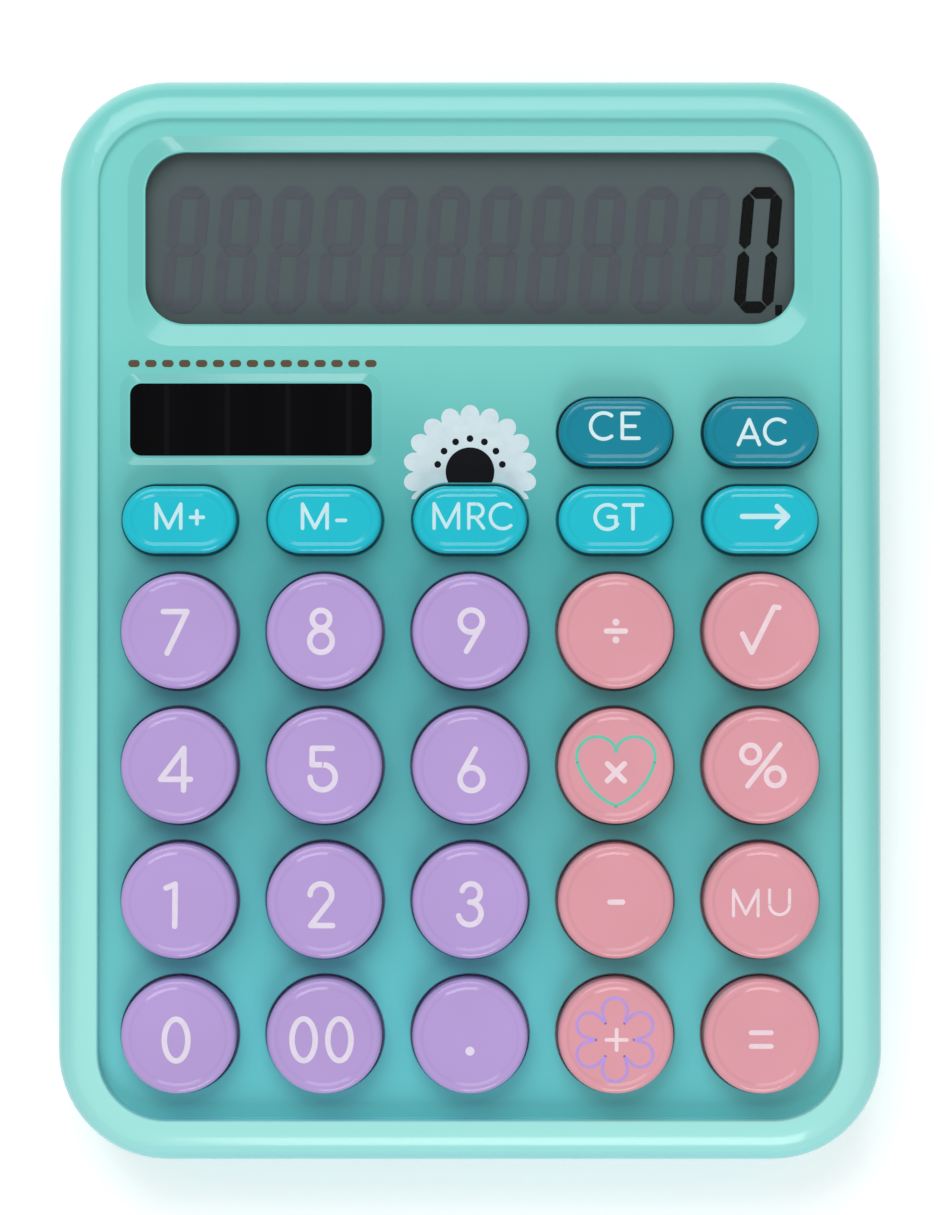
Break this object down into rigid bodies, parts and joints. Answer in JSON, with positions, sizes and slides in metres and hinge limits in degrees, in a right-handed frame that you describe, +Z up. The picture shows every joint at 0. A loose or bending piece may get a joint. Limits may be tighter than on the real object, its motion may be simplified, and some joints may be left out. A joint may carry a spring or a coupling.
{
  "type": "desk calculator",
  "caption": "Desk calculator with a wide display, a solar window, round and long sprung keys in a sloping deck with a raised rim, and a hinged battery door.",
  "frame": {"origin": "centre of the footprint, on the table under the rubber feet", "axes": "+X to the user's right, +Y away from the user towards the display, +Z up"},
  "size_m": [0.122, 0.1602, 0.0303],
  "materials": {
    "case_shell": "glossy moulded mint shell",
    "lilac_key": "glossy lilac cap",
    "pink_key": "glossy pink cap",
    "cyan_key": "glossy sky blue cap",
    "teal_key": "glossy teal blue cap",
    "display_window": "clear acrylic window",
    "lcd_panel": "grey green liquid crystal panel",
    "white_plastic": "satin white holder",
    "zebra_rubber": "soft layered connector strip",
    "solar_window": "smoked window",
    "solar_film": "dark amorphous silicon film",
    "lead_wire": "insulated lead",
    "clear_rubber": "translucent silicone",
    "carbon_rubber": "carbon filled rubber",
    "board_laminate": "green solder mask on laminate",
    "black_resin": "black epoxy",
    "zinc_steel": "bright zinc plate",
    "nickel_wire": "nickel plate",
    "cell_jacket": "printed foil jacket",
    "foot_rubber": "grey rubber"
  },
  "bodies": {
    "case": {"front_case": "case_shell", "back_cover": "case_shell", "display_window": "display_window", "lcd_glass": "lcd_panel", "lcd_frame": "white_plastic", "zebra_strip": "zebra_rubber", "solar_window": "solar_window", "solar_cell": "solar_film", "solar_leads": "lead_wire", "keypad_membrane": "clear_rubber", "contact_pills": "carbon_rubber", "circuit_board": "board_laminate", "chip_blob": "black_resin", "board_parts": "black_resin", "board_screws": "zinc_steel", "case_screws": "zinc_steel", "battery_cell": "cell_jacket", "battery_spring": "nickel_wire", "contact_plates": "nickel_wire", "battery_leads": "lead_wire", "rubber_feet": "foot_rubber"},
    "battery_door": {"battery_door": "case_shell"},
    "key_0": {"key_0": "lilac_key"},
    "key_00": {"key_00": "lilac_key"},
    "key_point": {"key_point": "lilac_key"},
    "key_1": {"key_1": "lilac_key"},
    "key_2": {"key_2": "lilac_key"},
    "key_3": {"key_3": "lilac_key"},
    "key_4": {"key_4": "lilac_key"},
    "key_5": {"key_5": "lilac_key"},
    "key_6": {"key_6": "lilac_key"},
    "key_7": {"key_7": "lilac_key"},
    "key_8": {"key_8": "lilac_key"},
    "key_9": {"key_9": "lilac_key"},
    "key_plus": {"key_plus": "pink_key"},
    "key_equals": {"key_equals": "pink_key"},
    "key_minus": {"key_minus": "pink_key"},
    "key_markup": {"key_markup": "pink_key"},
    "key_multiply": {"key_multiply": "pink_key"},
    "key_percent": {"key_percent": "pink_key"},
    "key_divide": {"key_divide": "pink_key"},
    "key_root": {"key_root": "pink_key"},
    "key_memory_plus": {"key_memory_plus": "cyan_key"},
    "key_memory_minus": {"key_memory_minus": "cyan_key"},
    "key_memory_recall": {"key_memory_recall": "cyan_key"},
    "key_grand_total": {"key_grand_total": "cyan_key"},
    "key_backspace": {"key_backspace": "cyan_key"},
    "key_clear_entry": {"key_clear_entry": "teal_key"},
    "key_clear_all": {"key_clear_all": "teal_key"}
  },
  "joints": [
    {"name": "key_0_press", "type": "slide", "parent": "case", "child": "key_0", "axis": [0, 0.0941, -0.9956], "range_m": [0, 0.0012], "stiffness_N_per_m": 400, "springref_m": -0.0005, "deforming": ["keypad_membrane"]},
    {"name": "key_00_press", "type": "slide", "parent": "case", "child": "key_00", "axis": [0, 0.0941, -0.9956], "range_m": [0, 0.0012], "stiffness_N_per_m": 400, "springref_m": -0.0005, "deforming": ["keypad_membrane"]},
    {"name": "key_point_press", "type": "slide", "parent": "case", "child": "key_point", "axis": [0, 0.0941, -0.9956], "range_m": [0, 0.0012], "stiffness_N_per_m": 400, "springref_m": -0.0005, "deforming": ["keypad_membrane"]},
    {"name": "key_1_press", "type": "slide", "parent": "case", "child": "key_1", "axis": [0, 0.0941, -0.9956], "range_m": [0, 0.0012], "stiffness_N_per_m": 400, "springref_m": -0.0005, "deforming": ["keypad_membrane"]},
    {"name": "key_2_press", "type": "slide", "parent": "case", "child": "key_2", "axis": [0, 0.0941, -0.9956], "range_m": [0, 0.0012], "stiffness_N_per_m": 400, "springref_m": -0.0005, "deforming": ["keypad_membrane"]},
    {"name": "key_3_press", "type": "slide", "parent": "case", "child": "key_3", "axis": [0, 0.0941, -0.9956], "range_m": [0, 0.0012], "stiffness_N_per_m": 400, "springref_m": -0.0005, "deforming": ["keypad_membrane"]},
    {"name": "key_4_press", "type": "slide", "parent": "case", "child": "key_4", "axis": [0, 0.0941, -0.9956], "range_m": [0, 0.0012], "stiffness_N_per_m": 400, "springref_m": -0.0005, "deforming": ["keypad_membrane"]},
    {"name": "key_5_press", "type": "slide", "parent": "case", "child": "key_5", "axis": [0, 0.0941, -0.9956], "range_m": [0, 0.0012], "stiffness_N_per_m": 400, "springref_m": -0.0005, "deforming": ["keypad_membrane"]},
    {"name": "key_6_press", "type": "slide", "parent": "case", "child": "key_6", "axis": [0, 0.0941, -0.9956], "range_m": [0, 0.0012], "stiffness_N_per_m": 400, "springref_m": -0.0005, "deforming": ["keypad_membrane"]},
    {"name": "key_7_press", "type": "slide", "parent": "case", "child": "key_7", "axis": [0, 0.0941, -0.9956], "range_m": [0, 0.0012], "stiffness_N_per_m": 400, "springref_m": -0.0005, "deforming": ["keypad_membrane"]},
    {"name": "key_8_press", "type": "slide", "parent": "case", "child": "key_8", "axis": [0, 0.0941, -0.9956], "range_m": [0, 0.0012], "stiffness_N_per_m": 400, "springref_m": -0.0005, "deforming": ["keypad_membrane"]},
    {"name": "key_9_press", "type": "slide", "parent": "case", "child": "key_9", "axis": [0, 0.0941, -0.9956], "range_m": [0, 0.0012], "stiffness_N_per_m": 400, "springref_m": -0.0005, "deforming": ["keypad_membrane"]},
    {"name": "key_plus_press", "type": "slide", "parent": "case", "child": "key_plus", "axis": [0, 0.0941, -0.9956], "range_m": [0, 0.0012], "stiffness_N_per_m": 400, "springref_m": -0.0005, "deforming": ["keypad_membrane"]},
    {"name": "key_equals_press", "type": "slide", "parent": "case", "child": "key_equals", "axis": [0, 0.0941, -0.9956], "range_m": [0, 0.0012], "stiffness_N_per_m": 400, "springref_m": -0.0005, "deforming": ["keypad_membrane"]},
    {"name": "key_minus_press", "type": "slide", "parent": "case", "child": "key_minus", "axis": [0, 0.0941, -0.9956], "range_m": [0, 0.0012], "stiffness_N_per_m": 400, "springref_m": -0.0005, "deforming": ["keypad_membrane"]},
    {"name": "key_markup_press", "type": "slide", "parent": "case", "child": "key_markup", "axis": [0, 0.0941, -0.9956], "range_m": [0, 0.0012], "stiffness_N_per_m": 400, "springref_m": -0.0005, "deforming": ["keypad_membrane"]},
    {"name": "key_multiply_press", "type": "slide", "parent": "case", "child": "key_multiply", "axis": [0, 0.0941, -0.9956], "range_m": [0, 0.0012], "stiffness_N_per_m": 400, "springref_m": -0.0005, "deforming": ["keypad_membrane"]},
    {"name": "key_percent_press", "type": "slide", "parent": "case", "child": "key_percent", "axis": [0, 0.0941, -0.9956], "range_m": [0, 0.0012], "stiffness_N_per_m": 400, "springref_m": -0.0005, "deforming": ["keypad_membrane"]},
    {"name": "key_divide_press", "type": "slide", "parent": "case", "child": "key_divide", "axis": [0, 0.0941, -0.9956], "range_m": [0, 0.0012], "stiffness_N_per_m": 400, "springref_m": -0.0005, "deforming": ["keypad_membrane"]},
    {"name": "key_root_press", "type": "slide", "parent": "case", "child": "key_root", "axis": [0, 0.0941, -0.9956], "range_m": [0, 0.0012], "stiffness_N_per_m": 400, "springref_m": -0.0005, "deforming": ["keypad_membrane"]},
    {"name": "key_memory_plus_press", "type": "slide", "parent": "case", "child": "key_memory_plus", "axis": [0, 0.0941, -0.9956], "range_m": [0, 0.0012], "stiffness_N_per_m": 400, "springref_m": -0.0005, "deforming": ["keypad_membrane"]},
    {"name": "key_memory_minus_press", "type": "slide", "parent": "case", "child": "key_memory_minus", "axis": [0, 0.0941, -0.9956], "range_m": [0, 0.0012], "stiffness_N_per_m": 400, "springref_m": -0.0005, "deforming": ["keypad_membrane"]},
    {"name": "key_memory_recall_press", "type": "slide", "parent": "case", "child": "key_memory_recall", "axis": [0, 0.0941, -0.9956], "range_m": [0, 0.0012], "stiffness_N_per_m": 400, "springref_m": -0.0005, "deforming": ["keypad_membrane"]},
    {"name": "key_grand_total_press", "type": "slide", "parent": "case", "child": "key_grand_total", "axis": [0, 0.0941, -0.9956], "range_m": [0, 0.0012], "stiffness_N_per_m": 400, "springref_m": -0.0005, "deforming": ["keypad_membrane"]},
    {"name": "key_backspace_press", "type": "slide", "parent": "case", "child": "key_backspace", "axis": [0, 0.0941, -0.9956], "range_m": [0, 0.0012], "stiffness_N_per_m": 400, "springref_m": -0.0005, "deforming": ["keypad_membrane"]},
    {"name": "key_clear_entry_press", "type": "slide", "parent": "case", "child": "key_clear_entry", "axis": [0, 0.0941, -0.9956], "range_m": [0, 0.0012], "stiffness_N_per_m": 400, "springref_m": -0.0005, "deforming": ["keypad_membrane"]},
    {"name": "key_clear_all_press", "type": "slide", "parent": "case", "child": "key_clear_all", "axis": [0, 0.0941, -0.9956], "range_m": [0, 0.0012], "stiffness_N_per_m": 400, "springref_m": -0.0005, "deforming": ["keypad_membrane"]},
    {"name": "battery_door_swing", "type": "hinge", "parent": "case", "child": "battery_door", "pos_m": [0, 0.0425, 0.0012], "axis": [-1, 0, 0], "range_deg": [0, 75]}
  ]
}
